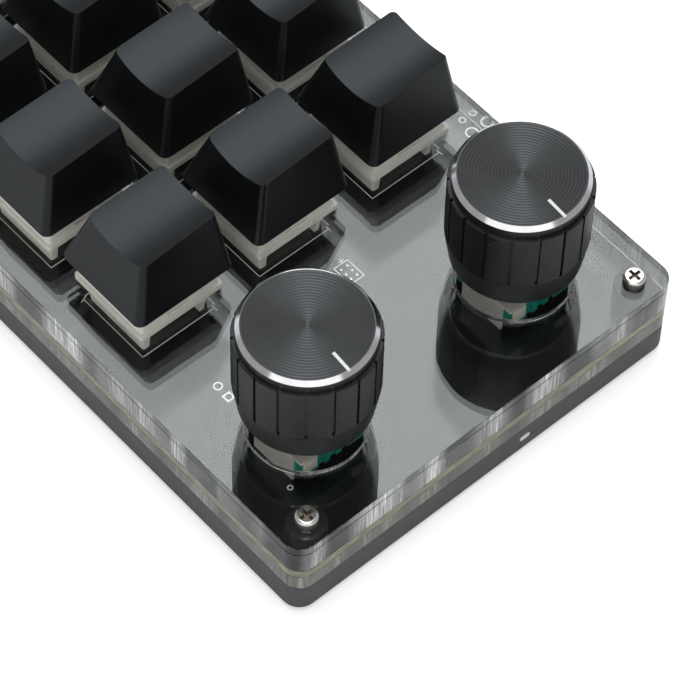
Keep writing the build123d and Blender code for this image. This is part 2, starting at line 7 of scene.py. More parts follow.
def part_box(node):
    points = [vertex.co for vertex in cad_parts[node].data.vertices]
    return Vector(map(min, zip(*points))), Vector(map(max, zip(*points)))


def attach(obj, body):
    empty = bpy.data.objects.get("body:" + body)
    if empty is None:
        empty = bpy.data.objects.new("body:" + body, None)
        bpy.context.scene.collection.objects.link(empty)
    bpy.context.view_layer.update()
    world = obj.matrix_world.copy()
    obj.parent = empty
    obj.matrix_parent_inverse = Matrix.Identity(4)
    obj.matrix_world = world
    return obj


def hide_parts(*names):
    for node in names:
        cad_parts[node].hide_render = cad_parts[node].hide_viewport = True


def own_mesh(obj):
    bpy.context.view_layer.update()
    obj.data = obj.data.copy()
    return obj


# Macro keypad: twelve keys and two push knobs on a stack of clear acrylic layers.
# Sizes are written in millimetres and multiplied by MM, because the scene is in metres.
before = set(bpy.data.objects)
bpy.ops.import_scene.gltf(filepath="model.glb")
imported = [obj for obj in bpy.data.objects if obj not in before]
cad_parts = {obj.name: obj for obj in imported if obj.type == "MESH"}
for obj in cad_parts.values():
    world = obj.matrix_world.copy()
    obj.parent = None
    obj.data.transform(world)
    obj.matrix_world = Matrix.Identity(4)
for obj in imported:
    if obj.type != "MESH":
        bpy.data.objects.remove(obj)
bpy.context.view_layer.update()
MM = 0.001


# Camera. It looks down on the front right corner of the keypad from half a metre away,
# through a long lens, and is held a little askew.
CAMERA_PLACE = (265.74, -215.49, 449.40)
CAMERA_TURN, CAMERA_HEIGHT, CAMERA_ROLL = 47.08, 54.87, 1.85
CAMERA_LENS = 187.35

turn = (
    Matrix.Rotation(radians(CAMERA_TURN), 3, "Z")
    @ Matrix.Rotation(radians(90 - CAMERA_HEIGHT), 3, "X")
    @ Matrix.Rotation(radians(CAMERA_ROLL), 3, "Z")
)
bpy.ops.object.camera_add(
    location=[value * MM for value in CAMERA_PLACE], rotation=turn.to_euler()
)
camera = bpy.context.object
camera.data.lens = CAMERA_LENS
camera.data.clip_start = 10 * MM
bpy.context.scene.camera = camera


# Rubber feet. Four round stick-on feet of soft black rubber, moulded with a rounded rim
# and pressed into shallow round recesses in the underside of the base.
FOOT_RADIUS = 4.0
FOOT_ROUNDING = 0.5
FOOT_DIMPLE = 1.0


def nothing_selected():
    """Leave edit mode and let go of everything."""
    if bpy.context.object and bpy.context.object.mode != "OBJECT":
        bpy.ops.object.mode_set(mode="OBJECT")
    bpy.ops.object.select_all(action="DESELECT")


def work_on(piece):
    """Make one piece the only selected and active one."""
    nothing_selected()
    piece.select_set(True)
    bpy.context.view_layer.objects.active = piece


def pick(piece, kind, test):
    """In edit mode, select only the faces or edges of the piece that pass the test."""
    bpy.ops.mesh.select_mode(type={"faces": "FACE", "edges": "EDGE"}[kind])
    mesh = bmesh.from_edit_mesh(piece.data)
    for part in (*mesh.verts, *mesh.edges, *mesh.faces):
        part.select_set(False)
    for part in getattr(mesh, kind):
        if test(part):
            part.select_set(True)
    mesh.select_flush_mode()
    bmesh.update_edit_mesh(piece.data)


def settle(name):
    """Work place, turn and size into the mesh of a new piece, and name it."""
    bpy.ops.object.transform_apply(location=True, rotation=True, scale=True)
    piece = bpy.context.object
    piece.name = piece.data.name = name
    return piece


def rod(name, radius, low, high, x=0.0, y=0.0, sides=64):
    """Upright round bar between two heights."""
    nothing_selected()
    bpy.ops.mesh.primitive_cylinder_add(
        vertices=sides,
        radius=radius * MM,
        depth=(high - low) * MM,
        location=(x * MM, y * MM, (low + high) / 2 * MM),
    )
    return settle(name)


def apply_modifier(piece, modifier):
    """Work a modifier into the mesh."""
    work_on(piece)
    bpy.ops.object.modifier_apply(modifier=modifier.name)


def soften(piece, width, segments=2, sharp=40):
    """Take the sharp edges off, as the real ones are, and keep the flats looking flat."""
    if width:
        bevel = piece.modifiers.new("Edges", "BEVEL")
        bevel.width = width * MM
        bevel.segments = segments
        bevel.limit_method = "ANGLE"
        bevel.angle_limit = radians(sharp)
        apply_modifier(piece, bevel)
    work_on(piece)
    bpy.ops.object.shade_smooth_by_angle(angle=radians(sharp))
    normals = piece.modifiers.new("Normals", "WEIGHTED_NORMAL")
    normals.keep_sharp = True
    apply_modifier(piece, normals)


def copy_to(piece, name, x=0.0, y=0.0):
    """Copy of a finished piece with a mesh of its own, moved to its place."""
    work_on(piece)
    bpy.ops.object.duplicate()
    bpy.ops.transform.translate(value=(x * MM, y * MM, 0))
    return settle(name)


def in_mm(corners):
    """Lowest and highest corner of a box, in millimetres."""
    return [corner / MM for corner in corners]


def tone(red, green, blue):
    """Shader colour of a screen colour given from 0 to 255."""
    return (*[((value / 255 + 0.055) / 1.055) ** 2.4 for value in (red, green, blue)], 1)


def connect(node, sockets):
    """Give sockets of a shader node a value, or link another node's output to them."""
    for socket, value in sockets.items():
        if isinstance(value, bpy.types.NodeSocket):
            node.id_data.links.new(value, node.inputs[socket])
        else:
            node.inputs[socket].default_value = value


def tune(material, sockets):
    """Set sockets of the material's main shader."""
    connect(material.node_tree.nodes["Principled BSDF"], sockets)
    return material


def add_node(tree, kind, output, sockets=None, **settings):
    """Add a shader node and return one of its outputs."""
    node = tree.nodes.new(f"ShaderNode{kind}")
    for setting, value in settings.items():
        setattr(node, setting, value)
    connect(node, sockets or {})
    return node.outputs[output]


def noise(tree, place, size, detail=2):
    """Noise whose marks have a size in mm."""
    sockets = {"Vector": place, "Scale": 1 / (size * MM), "Detail": detail}
    return add_node(tree, "TexNoise", "Fac", sockets)


def spread(tree, value, low, high, start=0.0, end=1.0):
    """Value that goes from low to high while another goes from start to end."""
    sockets = {"Value": value, "From Min": start, "From Max": end, "To Min": low, "To Max": high}
    return add_node(tree, "MapRange", "Result", sockets)


def blend(tree, share, first, second):
    """Colour between two others."""
    sockets = {"Factor": share, "A": first, "B": second}
    return add_node(tree, "Mix", "Result", sockets, data_type="RGBA")


def lift(tree, pattern, strength, depth):
    """Surface that a pattern seems to lift by a depth in mm."""
    sockets = {"Height": pattern, "Strength": strength, "Distance": depth * MM}
    return add_node(tree, "Bump", "Normal", sockets)


def grained(name, dark, light, grain, gloss, relief, metal=0.0):
    """Solid finish. Its grain, in mm, varies the colour and the gloss and lifts the surface."""
    material = bpy.data.materials.new(name)
    material.use_nodes = True
    tree = material.node_tree
    place = add_node(tree, "TexCoord", "Object")
    fine, broad = noise(tree, place, grain, 3), noise(tree, place, 20 * grain)
    sockets = {
        "Metallic": metal,
        "Base Color": blend(tree, broad, tone(*dark), tone(*light)),
        "Roughness": spread(tree, fine, *gloss),
        "Normal": lift(tree, fine, 0.5, relief),
    }
    return tune(material, sockets)


def fit(piece, material, body, finish, *nodes):
    """Give a piece its material and the body it rides on, and hide what it stands for. The finish
    is not used.
    """
    if material:
        piece.data.materials.clear()
        piece.data.materials.append(material)
    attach(piece, body)
    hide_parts(*nodes)


feet_low, feet_high = in_mm(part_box("rubber_feet"))
foot = rod("foot_model", FOOT_RADIUS, feet_low.z, feet_high.z)
bpy.ops.object.mode_set(mode="EDIT")
pick(foot, "faces", lambda face: face.normal.z < -0.9)
bpy.ops.mesh.inset(thickness=FOOT_DIMPLE * MM)
bpy.ops.mesh.inset(thickness=FOOT_DIMPLE / 4 * MM)
bpy.ops.transform.translate(value=(0, 0, FOOT_DIMPLE / 5 * MM))
nothing_selected()
soften(foot, FOOT_ROUNDING, 4, 50)

rubber = grained("black rubber", (34, 34, 35), (44, 44, 45), 0.15, (0.7, 0.9), 0.01)
foot_x, foot_y = feet_high.x - FOOT_RADIUS, feet_high.y - FOOT_RADIUS
for number, (side, end) in enumerate(((-1, -1), (1, -1), (-1, 1), (1, 1)), start=1):
    piece = copy_to(foot, f"rubber_foot_{number}", side * foot_x, end * foot_y)
    fit(piece, rubber, "case", "black_rubber", "rubber_feet")
bpy.data.objects.remove(foot)


# Base tray. Black moulded tray that closes the keypad from below: a thick floor with a
# raised rim, recesses for the feet, a notch for the cable socket and a slot for the light.
CORNER_RADIUS = 3.0
RIM_WIDTH = 6.0
RIM_INNER_RADIUS = 5.0
BASE_FLOOR = 2.0
BASE_SOFTNESS = 0.25
FOOT_RECESS = 0.5
FOOT_ROOM = 0.1
WINDOW_RADIUS = 0.49
PORT_ROOM = 0.3


def bar(name, middle, size, angle=0.0):
    """Block round a point, turned on the upright axis."""
    nothing_selected()
    bpy.ops.mesh.primitive_cube_add(
        size=1,
        location=[value * MM for value in middle],
        rotation=(0, 0, angle),
        scale=[value * MM for value in size],
    )
    return settle(name)


def box(name, low, high):
    """Block between its lowest and highest corner."""
    middle = [(a + b) / 2 for a, b in zip(low, high)]
    return bar(name, middle, [b - a for a, b in zip(low, high)])


def lies_along(edge, axis):
    """Whether an edge runs along an axis, 0 to 2."""
    a, b = (vertex.co for vertex in edge.verts)
    return abs((a - b).normalized()[axis]) > 0.99


def rounded_box(name, low, high, radius, axis=2, segments=10):
    """Block whose four edges along one axis are rounded."""
    piece = box(name, low, high)
    bpy.ops.object.mode_set(mode="EDIT")
    pick(piece, "edges", lambda edge: lies_along(edge, axis))
    bpy.ops.mesh.bevel(offset=radius * MM, segments=segments, affect="EDGES")
    nothing_selected()
    return piece


def join(first, *others):
    """Put several meshes into the first one."""
    work_on(first)
    for other in others:
        other.select_set(True)
    if others:
        bpy.ops.object.join()
    return first


def combine(piece, other, operation):
    """Cut the other body out of the piece, or melt it into the piece, and use it up."""
    boolean = piece.modifiers.new(operation, "BOOLEAN")
    boolean.operation = operation
    boolean.solver = "EXACT"
    boolean.object = other
    apply_modifier(piece, boolean)
    bpy.data.objects.remove(other)


def cut(piece, *cutters):
    """Take the space of the cutters away. They reach past the piece, mostly by 1 mm."""
    combine(piece, join(*cutters), "DIFFERENCE")


def port(high, bottom):
    """Space that the cable socket takes from the back wall of a layer."""
    return box(
        "port",
        (socket_low.x - PORT_ROOM, high.y - 2 * RIM_WIDTH, bottom),
        (socket_high.x + PORT_ROOM, high.y + 1, high.z + 1),
    )


base_low, base_high = in_mm(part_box("base_tray"))
spacer_low, spacer_high = in_mm(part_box("lower_spacer"))
socket_low, socket_high = in_mm(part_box("cable_socket"))
window_low, window_high = in_mm(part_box("light_window"))

tray = rounded_box("base_tray_shell", base_low, base_high, CORNER_RADIUS)
inner = Vector((base_high.x - RIM_WIDTH, base_high.y - RIM_WIDTH, base_high.z + 1))
pocket = rounded_box(
    "pocket", (-inner.x, -inner.y, base_low.z + BASE_FLOOR), inner, RIM_INNER_RADIUS
)
recess_top = base_low.z + FOOT_RECESS
recesses = [
    rod("recess", FOOT_RADIUS + FOOT_ROOM, base_low.z - 1, recess_top, side * foot_x, end * foot_y)
    for side in (-1, 1)
    for end in (-1, 1)
]
window_end = window_high + Vector((1, 0, 0))
window_slot = rounded_box("window_slot", window_low, window_end, WINDOW_RADIUS, axis=0)
cut(tray, pocket)
cut(tray, port(base_high, socket_low.z - PORT_ROOM))
cut(tray, *recesses)
cut(tray, window_slot)
soften(tray, BASE_SOFTNESS)

base_plastic = grained("black base plastic", (58, 58, 60), (74, 74, 76), 0.12, (0.45, 0.62), 0.02)
fit(tray, base_plastic, "case", "black_base", "base_tray")


# Light window. Small oval light guide of milky plastic, pushed into its slot in the right
# side of the base.
window = rounded_box("light_window_lens", window_low, window_high, WINDOW_RADIUS, axis=0)
soften(window, 0.08)
lens = grained("milky light guide", (226, 228, 226), (240, 242, 240), 0.3, (0.1, 0.2), 0.002)
tune(lens, {"Transmission Weight": 0.2})
fit(window, lens, "case", "clear_window", "light_window")


# Board chips and plug-in sockets. Flat epoxy parts and stepped black nylon bodies that
# are soldered under the board, where they show only from the side, through the spacer.
def paint(node, material):
    """Give a CAD part that stays as it is a finish of its own."""
    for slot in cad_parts[node].material_slots:
        slot.material = material


epoxy = grained("chip epoxy", (38, 38, 40), (46, 46, 48), 0.08, (0.5, 0.7), 0.006)
nylon = grained("black nylon", (10, 10, 11), (16, 16, 17), 0.2, (0.45, 0.6), 0.008)
tune(nylon, {"Specular IOR Level": 0.2})
paint("board_chips", epoxy)
paint("plug_sockets", nylon)


# Lower spacer. Clear acrylic rim, cut by laser, that keeps the board clear of the base
# and leaves a gap at the back for the cable socket. Its cut edge is dull and faintly olive.
ACRYLIC_INDEX = 1.49
HAZE, HAZE_SIZE = 0.03, 9
CUT_MARK_SIZE, CUT_MARK_DEPTH, CUT_PATCH_SIZE = 0.35, 0.05, 7
CUT_STRETCH = (1, 1, 0.06)
CUT_GLOSS = (0.1, 0.3)
SHARE_PASSED = 0.9
AIR = Vector((0, 0, 0.03))
SPACER_RADIUS = 3.0
SHEET_SOFTNESS = 0.06


def ray_is(tree, kind):
    """Whether the ray that meets the surface is of a kind."""
    return add_node(tree, "LightPath", f"Is {kind} Ray")


def maths(tree, operation, *values):
    """Result of a calculation with one or two values."""
    return add_node(tree, "Math", "Value", dict(enumerate(values)), operation=operation)


def stretched(tree, scale, shift=0.0):
    """Place on the piece, with its axes stretched and moved by a shift in mm."""
    place = add_node(tree, "TexCoord", "Object")
    sockets = {"Vector": place, "Scale": scale, "Location": (shift * MM, shift * MM, 0)}
    return add_node(tree, "Mapping", "Vector", sockets)


def mixed(tree, share, first, second):
    """Mix of two shaders."""
    return add_node(tree, "MixShader", "Shader", {"Fac": share, 1: first, 2: second})


def acrylic(name, tint):
    """Clear polished acrylic, through which the lamps shine on what lies below."""
    material = bpy.data.materials.new(name)
    material.use_nodes = True
    tree = material.node_tree
    swirl = noise(tree, add_node(tree, "TexCoord", "Object"), HAZE_SIZE)
    sockets = {
        "Base Color": tint,
        "IOR": ACRYLIC_INDEX,
        "Transmission Weight": 1.0,
        "Roughness": spread(tree, swirl, 0.0, HAZE),
    }
    tune(material, sockets)
    glass = tree.nodes["Principled BSDF"].outputs["BSDF"]
    passing = add_node(tree, "BsdfTransparent", "BSDF", {"Color": tint})
    surface = mixed(tree, ray_is(tree, "Shadow"), glass, passing)
    connect(tree.nodes["Material Output"], {"Surface": surface})
    return material


def cut_edge(name, dull, tint, cloud, patch_start, patch_end, shift):
    """Edge cut by laser: fine upright marks, and patches that the cloud makes less clear."""
    material = acrylic(name, tint)
    tree = material.node_tree
    upright = stretched(tree, CUT_STRETCH, shift)
    marks = noise(tree, upright, CUT_MARK_SIZE, 3)
    patches = noise(tree, upright, CUT_PATCH_SIZE)
    chosen = spread(tree, patches, 0.0, 1.0, patch_start, patch_end)
    crisp = spread(tree, marks, 0.45, 1.0, 0.35, 0.65)
    milky_marks = maths(tree, "MULTIPLY", chosen, crisp)
    sockets = {
        "Transmission Weight": spread(tree, milky_marks, 1.0, 1 - cloud),
        "Base Color": blend(tree, milky_marks, dull, tint),
        "Roughness": spread(tree, milky_marks, *CUT_GLOSS),
        "Normal": lift(tree, marks, 0.35, CUT_MARK_DEPTH),
    }
    return tune(material, sockets)


def pressed_face(name, tint):
    """Face that lies tight against the next layer, so that hardly any light turns back."""
    material = acrylic(name, tint)
    tree = material.node_tree
    glass = tree.nodes["Principled BSDF"].outputs["BSDF"]
    passing = tree.nodes["Transparent BSDF"].outputs["BSDF"]
    connect(tree.nodes["Mix Shader"], {1: mixed(tree, SHARE_PASSED, glass, passing)})
    return material


def mark_cut_edge(piece, material, start_x, start_y):
    """Give the upright faces from a place outwards the cut edge, but not the screw holes."""
    piece.data.materials.append(material)
    last = len(piece.data.materials) - 1
    for face in piece.data.polygons:
        x, y, _ = (value / MM for value in face.center)
        outside = abs(x) > start_x or abs(y) > start_y
        by_screw = any(
            hypot(x - hole_x, y - hole_y) < SPACER_RADIUS + 0.5 for hole_x, hole_y in screw_places
        )
        if outside and abs(face.normal.z) < 0.5 and not by_screw:
            face.material_index = last


def rim(name, low, high):
    """Sheet as wide as the body with its middle cut out, a rim's width from the edge."""
    piece = rounded_box(name, low, high, CORNER_RADIUS)
    opening = rounded_box(
        "opening",
        (low.x + RIM_WIDTH, low.y + RIM_WIDTH, low.z - 1),
        (high.x - RIM_WIDTH, high.y - RIM_WIDTH, high.z + 1),
        RIM_INNER_RADIUS,
    )
    cut(piece, opening)
    return piece


tube_low, tube_high = in_mm(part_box("screw_spacers"))
screw_x, screw_y = tube_high.x - SPACER_RADIUS, tube_high.y - SPACER_RADIUS
screw_places = [(side * screw_x, end * screw_y) for side in (-1, 1) for end in (-1, 1)]
rim_edge = (base_high.x - CORNER_RADIUS, base_high.y - CORNER_RADIUS)
smoked = pressed_face("smoked acrylic", tone(214, 216, 210))
smoked_edge = cut_edge(
    "smoked acrylic edge", tone(168, 169, 158), tone(216, 217, 204), 0.8, 0.1, 0.9, 31
)
spacer = rim("lower_spacer_rim", spacer_low + AIR, spacer_high - AIR)
cut(spacer, port(spacer_high, spacer_low.z - 1))
soften(spacer, SHEET_SOFTNESS, 1)
fit(spacer, smoked, "case", "smoked_acrylic", "lower_spacer")
mark_cut_edge(spacer, smoked_edge, *rim_edge)


# Cable socket. Oval shell drawn from thin steel, open at the back, with a tongue that
# carries gold-plated contacts on both sides. It is soldered under the board.
SHELL_WALL = 0.3
SHELL_DEPTH = 7.05
TONGUE_LENGTH, TONGUE_DEPTH, TONGUE_THICKNESS = 6.7, 5.0, 0.7
CONTACTS = 8
CONTACT_WIDTH, CONTACT_HEIGHT = 0.35, 0.04

socket_x = (socket_low.x + socket_high.x) / 2
socket_z = (socket_low.z + socket_high.z) / 2
shell_radius = (socket_high.z - socket_low.z) / 2 - 0.01
shell = rounded_box("cable_socket_shell", socket_low, socket_high, shell_radius, axis=1)
bpy.ops.object.mode_set(mode="EDIT")
pick(shell, "faces", lambda face: face.normal.y > 0.9)
bpy.ops.mesh.inset(thickness=SHELL_WALL * MM)
bpy.ops.mesh.extrude_region_move(TRANSFORM_OT_translate={"value": (0, -SHELL_DEPTH * MM, 0)})
nothing_selected()
soften(shell, 0.06)
steel = grained("satin steel", (168, 168, 170), (186, 186, 188), 0.25, (0.22, 0.38), 0.004, 1.0)
fit(shell, steel, "case", "socket_steel", "cable_socket")

tongue_y = socket_high.y - SHELL_DEPTH
tongue = box(
    "cable_socket_tongue",
    (socket_x - TONGUE_LENGTH / 2, tongue_y, socket_z - TONGUE_THICKNESS / 2),
    (socket_x + TONGUE_LENGTH / 2, tongue_y + TONGUE_DEPTH, socket_z + TONGUE_THICKNESS / 2),
)
soften(tongue, 0.12, 3)
fit(tongue, nylon, "case", "black_nylon", "cable_socket")

gold = grained("gold plating", (212, 172, 92), (226, 190, 112), 0.2, (0.15, 0.25), 0.002, 1.0)
strips = []
for number in range(CONTACTS):
    x = socket_x + (number - (CONTACTS - 1) / 2) * TONGUE_LENGTH / (CONTACTS + 1)
    for face in (-1, 1):
        z = socket_z + face * TONGUE_THICKNESS / 2
        strip = box(
            "contact",
            (x - CONTACT_WIDTH / 2, tongue_y + 0.8, z - CONTACT_HEIGHT / 2),
            (x + CONTACT_WIDTH / 2, tongue_y + TONGUE_DEPTH - 0.5, z + CONTACT_HEIGHT / 2),
        )
        strips.append(strip)
contacts = join(*strips)
contacts.name = contacts.data.name = "cable_socket_contacts"
soften(contacts, 0.01, 1)
fit(contacts, gold, "case", "pin_brass", "cable_socket")


# Circuit board. Glass-fibre board with a glossy black mask on both faces. Its milled
# edge, where the mask stops, shows the layers of the fibre, yellow-green.
FIBRE_SIZE, FIBRE_STRETCH = 0.35, (0.15, 0.15, 3)


def board_material():
    """Black mask on the lying faces, layered yellow-green fibre on the upright ones."""
    material = grained(
        "board laminate", (15, 16, 18), (21, 22, 24), 0.25, (0.08, 0.12), 0.0002
    )
    tree = material.node_tree
    mask = tree.nodes["Principled BSDF"].inputs["Base Color"].links[0].from_socket
    layers = noise(tree, stretched(tree, FIBRE_STRETCH), FIBRE_SIZE)
    parted = spread(tree, layers, 0.0, 1.0, 0.38, 0.62)
    fibre = blend(tree, parted, tone(86, 88, 68), tone(150, 150, 122))
    normal = add_node(tree, "TexCoord", "Normal")
    upward = add_node(tree, "SeparateXYZ", "Z", {"Vector": normal})
    lying = maths(tree, "GREATER_THAN", maths(tree, "ABSOLUTE", upward), 0.5)
    colour = blend(tree, lying, fibre, mask)
    return tune(material, {"Specular IOR Level": 0.5, "Base Color": colour})


board_high = in_mm(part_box("circuit_board"))[1]
paint("circuit_board", board_material())


# Board prints. Thin white ink marks on the board: an outline round each switch, open at
# two ends, rings round solder pads, and the outline of a small part with its dots.
PRINT_HEIGHT = 0.02
PRINT_LINE = 0.14
OUTLINE_HALF = 7.07
OUTLINE_LINES = (
    ((-6.54, -OUTLINE_HALF), (OUTLINE_HALF, -OUTLINE_HALF)),
    ((OUTLINE_HALF, -OUTLINE_HALF), (OUTLINE_HALF, 6.57)),
    ((6.54, OUTLINE_HALF), (-OUTLINE_HALF, OUTLINE_HALF)),
    ((-OUTLINE_HALF, OUTLINE_HALF), (-OUTLINE_HALF, -6.47)),
    ((-6.95, -6.47), (-6.54, -7.6)),
    ((7.67, 6.65), (6.54, 6.57)),
)
PAD_RINGS = (
    # x, y, outer and inner radius
    (32.4, -24.56, 0.75, 0.5),
    (52.6, -28.1, 0.45, 0.3),
    (18.97, 36.03, 0.62, 0.4),
    (21.72, 35.5, 1.07, 0.8),
)
SQUARE_PAD = (34.85, -24.6, 0.75, 0.5)
PART_MARK = (29.36, 3.61, 3.8, 2.7)
DOT_SPACING_X, DOT_SPACING_Y, DOT_LENGTH, DOT_WIDTH = 1.1, 1.2, 0.1, 0.3
PLUS_MARK = (27.05, 4.05, 0.45)
key_names = [f"r{row}c{column}" for row in (1, 2, 3) for column in (1, 2, 3, 4)]


def block(name, length, width, low, high, x=0.0, y=0.0):
    """Upright block round a place, between two heights."""
    return box(name, (x - length / 2, y - width / 2, low), (x + length / 2, y + width / 2, high))


def centre(node):
    """Middle of a CAD part's box, in millimetres."""
    low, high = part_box(node)
    return (low + high) / 2 / MM


def line(start, end, width=PRINT_LINE):
    """Straight ink line on the board."""
    (ax, ay), (bx, by) = start, end
    middle = ((ax + bx) / 2, (ay + by) / 2, board_high.z + PRINT_HEIGHT / 2)
    size = (hypot(bx - ax, by - ay) + width, width, PRINT_HEIGHT)
    return bar("line", middle, size, atan2(by - ay, bx - ax))


def bored(piece, radius, x, y):
    """Ink mark with a round hole in it."""
    cut(piece, rod("hole", radius, board_high.z - 1, board_high.z + 1, x, y, 40))
    return piece


ink = grained("white ink", (214, 216, 216), (232, 233, 232), 0.1, (0.45, 0.6), 0.002)
key_places = {name: centre(f"spring_{name}") for name in key_names}
outline = join(*[line(start, end) for start, end in OUTLINE_LINES])
for name, place in key_places.items():
    piece = copy_to(outline, f"outline_print_{name}", place.x, place.y)
    soften(piece, 0)
    fit(piece, ink, "case", "light_body")
bpy.data.objects.remove(outline)

ink_top = board_high.z + PRINT_HEIGHT
marks = [
    bored(rod("ring", outer, board_high.z, ink_top, x, y, 40), inner, x, y)
    for x, y, outer, inner in PAD_RINGS
]
x, y, half, hole = SQUARE_PAD
pad = block("pad", 2 * half, 2 * half, board_high.z, ink_top, x, y)
marks.append(bored(pad, hole, x, y))
x, y, length, width = PART_MARK
left, right, front, back = x - length / 2, x + length / 2, y - width / 2, y + width / 2
corners = [(left, front), (right, front), (right, back), (left, back)]
marks += [line(corners[number - 1], corners[number]) for number in range(4)]
plus_x, plus_y, arm = PLUS_MARK
marks.append(line((plus_x - arm, plus_y), (plus_x + arm, plus_y)))
marks.append(line((plus_x, plus_y - arm), (plus_x, plus_y + arm)))
for step_x in (-1, 0, 1):
    for step_y in (-0.5, 0.5):
        dot_x, dot_y = x + step_x * DOT_SPACING_X, y + step_y * DOT_SPACING_Y
        marks.append(line((dot_x, dot_y), (dot_x + DOT_LENGTH, dot_y), DOT_WIDTH))
prints = join(*marks)
prints.name = prints.data.name = "board_prints"
fit(prints, ink, "case", "light_body")


# Key lights and switch pins. Small white lights that shine up through windows in the
# board, and tinned pins under each switch. They are nearly hidden by the switches.
light_plastic = grained("light body", (222, 222, 210), (236, 236, 226), 0.2, (0.25, 0.4), 0.003)
tin = grained("tinned pins", (176, 160, 120), (196, 182, 144), 0.3, (0.25, 0.4), 0.004, 1.0)
paint("key_lights", light_plastic)
paint("switch_pins", tin)


# Switches, lower housing. Moulded in milky plastic: a square flange that rests on the
# plate, a body that snaps through the square hole, with its corners cut back for the
# clips, and a round post that finds its hole in the board.
FLANGE, FLANGE_THICKNESS = (15.6, 15.6), 1.0
NECK, NECK_LENGTH = (13.9, 13.9), 1.5
SWITCH_FOOT, SWITCH_DEPTH = (13.06, 13.06), 5.0
POST_RADIUS, POST_LENGTH = 2.0, 3.3
WELL, WELL_FLOOR = (9.6, 7.4), 1.0
CLIP_CUT, CLIP_CUT_X, CLIP_CUT_Y = (2.6, 3.0), 6.8, 6.6
ARCH_X, ARCH_LENGTH, ARCH_FRONT, ARCH_BACK, ARCH_TOP = 6.5, 2.6, -5.4, 4.2, 1.9


def tapered(name, foot, top, low, high, shift=0.0, corner=0.0, segments=4):
    """Block that narrows from one rectangle to another, with its upright edges rounded."""
    piece = block(name, *foot, low, high)
    bpy.ops.object.mode_set(mode="EDIT")
    if corner:
        pick(piece, "edges", lambda edge: lies_along(edge, 2))
        bpy.ops.mesh.bevel(offset=corner * MM, segments=segments, affect="EDGES")
    pick(piece, "faces", lambda face: face.normal.z > 0.9)
    bpy.ops.transform.resize(
        value=(top[0] / foot[0], top[1] / foot[1], 1), center_override=(0, 0, high * MM)
    )
    bpy.ops.transform.translate(value=(0, shift * MM, 0))
    nothing_selected()
    return piece


def weld(piece, *others):
    """Make one closed body of pieces that overlap."""
    for other in others:
        combine(piece, other, "UNION")


plate_low, plate_high = in_mm(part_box("top_plate"))
plate_top = plate_high.z
flange_top = plate_top + FLANGE_THICKNESS
neck_low = plate_top - NECK_LENGTH
switch_low = plate_top - SWITCH_DEPTH

housing = tapered("switch_base_model", SWITCH_FOOT, NECK, switch_low, neck_low, corner=0.4)
neck = tapered("neck", NECK, NECK, neck_low, plate_top + 0.5, corner=0.4)
flange = tapered("flange", FLANGE, FLANGE, plate_top, flange_top, corner=0.5)
post = rod("post", POST_RADIUS, switch_low - POST_LENGTH, switch_low + 0.5)
weld(housing, neck, flange, post)
clip_cuts = [
    block(
        "clip_cut",
        *CLIP_CUT,
        switch_low - 0.5,
        plate_top - 0.02,
        corner * CLIP_CUT_X,
        corner * CLIP_CUT_Y,
    )
    for corner in (-1, 1)
]
cut(housing, *clip_cuts)
arches = [
    box(
        "arch",
        (side * ARCH_X - ARCH_LENGTH / 2, ARCH_FRONT, switch_low - 0.5),
        (side * ARCH_X + ARCH_LENGTH / 2, ARCH_BACK, plate_top - ARCH_TOP),
    )
    for side in (-1, 1)
]
cut(housing, *arches)
cut(housing, block("well", *WELL, switch_low + WELL_FLOOR, flange_top + 1))
soften(housing, 0.1, sharp=35)

milky = grained(
    "milky housing plastic", (240, 238, 224), (250, 249, 240), 0.3, (0.22, 0.36), 0.006
)
scattering = {
    "Subsurface Weight": 0.15,
    "Subsurface Radius": (1.0, 0.9, 0.7),
    "Subsurface Scale": 1.5 * MM,
}
tune(milky, scattering)
for name, place in key_places.items():
    piece = copy_to(housing, f"switch_base_{name}", place.x, place.y)
    fit(piece, milky, "case", "milky_housing", "switch_bases")
bpy.data.objects.remove(housing)


# Switches, upper housing. Snapped onto the lower one: four sloping walls up to a small
# flat crown with the slider's opening, clip windows left and right and a light slot.
TOP_FOOT, CROWN, TOP_HEIGHT = (14.9, 14.9), (10.8, 9.8), 6.6
ROOF = 1.2
OPENING = (7.4, 6.0)
CLIP_WINDOW, CLIP_WINDOW_X = (1.0, 4.4), 7.4
CLIP_WINDOW_LOW, CLIP_WINDOW_HIGH = 0.4, 2.4
LIGHT_SLOT_HALF, LIGHT_SLOT_FRONT, LIGHT_SLOT_BACK, LIGHT_SLOT_LOW = 2.6, -7.6, -4.9, 0.8

crown_top = plate_top + TOP_HEIGHT
housing = tapered("switch_top_model", TOP_FOOT, CROWN, flange_top, crown_top, corner=0.6)
cut(housing, block("well", *WELL, flange_top - 1, crown_top - ROOF))
cut(housing, block("opening", *OPENING, crown_top - ROOF - 1, crown_top + 1))
window_bottom, window_top = flange_top + CLIP_WINDOW_LOW, flange_top + CLIP_WINDOW_HIGH
clip_windows = [
    block("clip_window", *CLIP_WINDOW, window_bottom, window_top, side * CLIP_WINDOW_X)
    for side in (-1, 1)
]
cut(housing, *clip_windows)
light_slot = box(
    "light_slot",
    (-LIGHT_SLOT_HALF, LIGHT_SLOT_FRONT, flange_top + LIGHT_SLOT_LOW),
    (LIGHT_SLOT_HALF, LIGHT_SLOT_BACK, crown_top + 1),
)
cut(housing, light_slot)
soften(housing, 0.12, sharp=35)
for name, place in key_places.items():
    piece = copy_to(housing, f"switch_top_{name}", place.x, place.y)
    fit(piece, milky, "case", "milky_housing", "switch_tops")
bpy.data.objects.remove(housing)


# Stems and springs. The slider is glossy black plastic with a cross on top. The spring
# below it is wound from steel wire, nine and a half turns.
WIRE_RADIUS = 0.2
SPRING_RADIUS = 1.9
SPRING_TURNS = 9.5
STEPS_PER_TURN = 18

